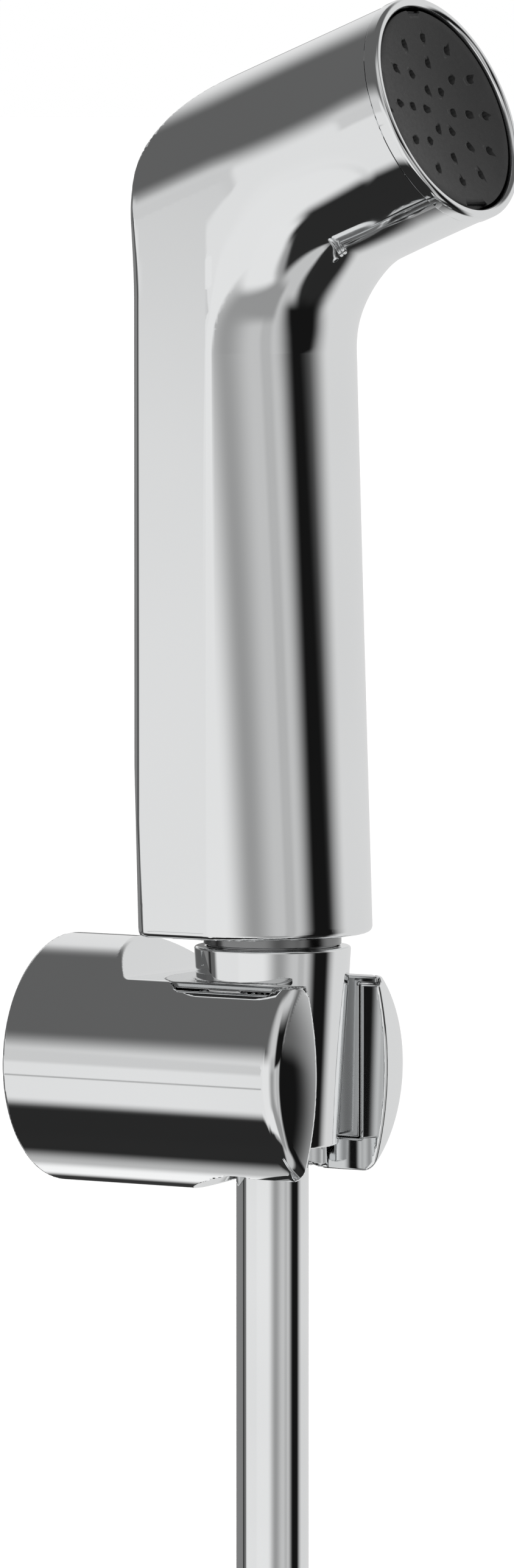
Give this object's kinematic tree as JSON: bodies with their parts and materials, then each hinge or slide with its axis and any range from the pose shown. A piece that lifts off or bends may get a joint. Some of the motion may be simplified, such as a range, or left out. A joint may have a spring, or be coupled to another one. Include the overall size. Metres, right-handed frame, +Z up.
{
  "type": "handheld bidet shower",
  "caption": "Chrome hand shower with a tilted round spray head and rear thumb button, resting by its conical hose nut in a slotted round wall holder.",
  "frame": {"origin": "centre of the wall holder's round back, on the wall", "axes": "+Z up, +Y into the wall, so the shower faces -Y; +X is to the right of someone facing the wall"},
  "size_m": [0.1627, 0.1059, 0.4077],
  "materials": {
    "chrome": "polished chrome plating",
    "liner_chrome": "chrome plating, slightly softer",
    "black_plastic": "black, finely matt",
    "inner_plastic": "grey, moulded",
    "brass": "turned",
    "rubber": "matt",
    "steel": "drawn steel",
    "hose_steel": "polished steel hose, finely ribbed",
    "tie_plastic": "black"
  },
  "bodies": {
    "holder": {"holder_body": "chrome", "holder_liner": "liner_chrome", "wall_bracket": "brass", "grub_screw": "steel", "handset_shell": "chrome", "rim_ring": "chrome", "spray_face": "black_plastic", "face_gasket": "rubber", "spray_chamber": "inner_plastic", "inlet_connector": "brass", "inlet_o_ring": "rubber", "lower_water_tube": "inner_plastic", "upper_water_tube": "inner_plastic", "valve_body": "inner_plastic", "valve_cap": "inner_plastic", "return_spring": "steel", "conical_nut": "chrome", "inlet_washer": "rubber", "hose_upper_ferrule": "brass", "hose": "hose_steel", "hose_coil": "hose_steel", "hose_tail": "hose_steel", "coil_tie": "tie_plastic", "hose_lower_ferrule": "brass", "end_washer": "rubber"},
    "button": {"button_stem": "steel", "push_button": "chrome", "valve_poppet": "rubber"},
    "end_nut": {"end_nut": "chrome"}
  },
  "joints": [
    {"name": "button_press", "type": "slide", "parent": "holder", "child": "button", "axis": [0, -1, 0], "range_m": [0, 0.0025], "stiffness_N_per_m": 800, "springref_m": -0.003, "deforming": ["return_spring"]},
    {"name": "end_nut_spin", "type": "hinge", "parent": "holder", "child": "end_nut", "pos_m": [0.09968, -0.092, -0.17775], "axis": [0.5, 0, 0.866], "continuous": true}
  ]
}
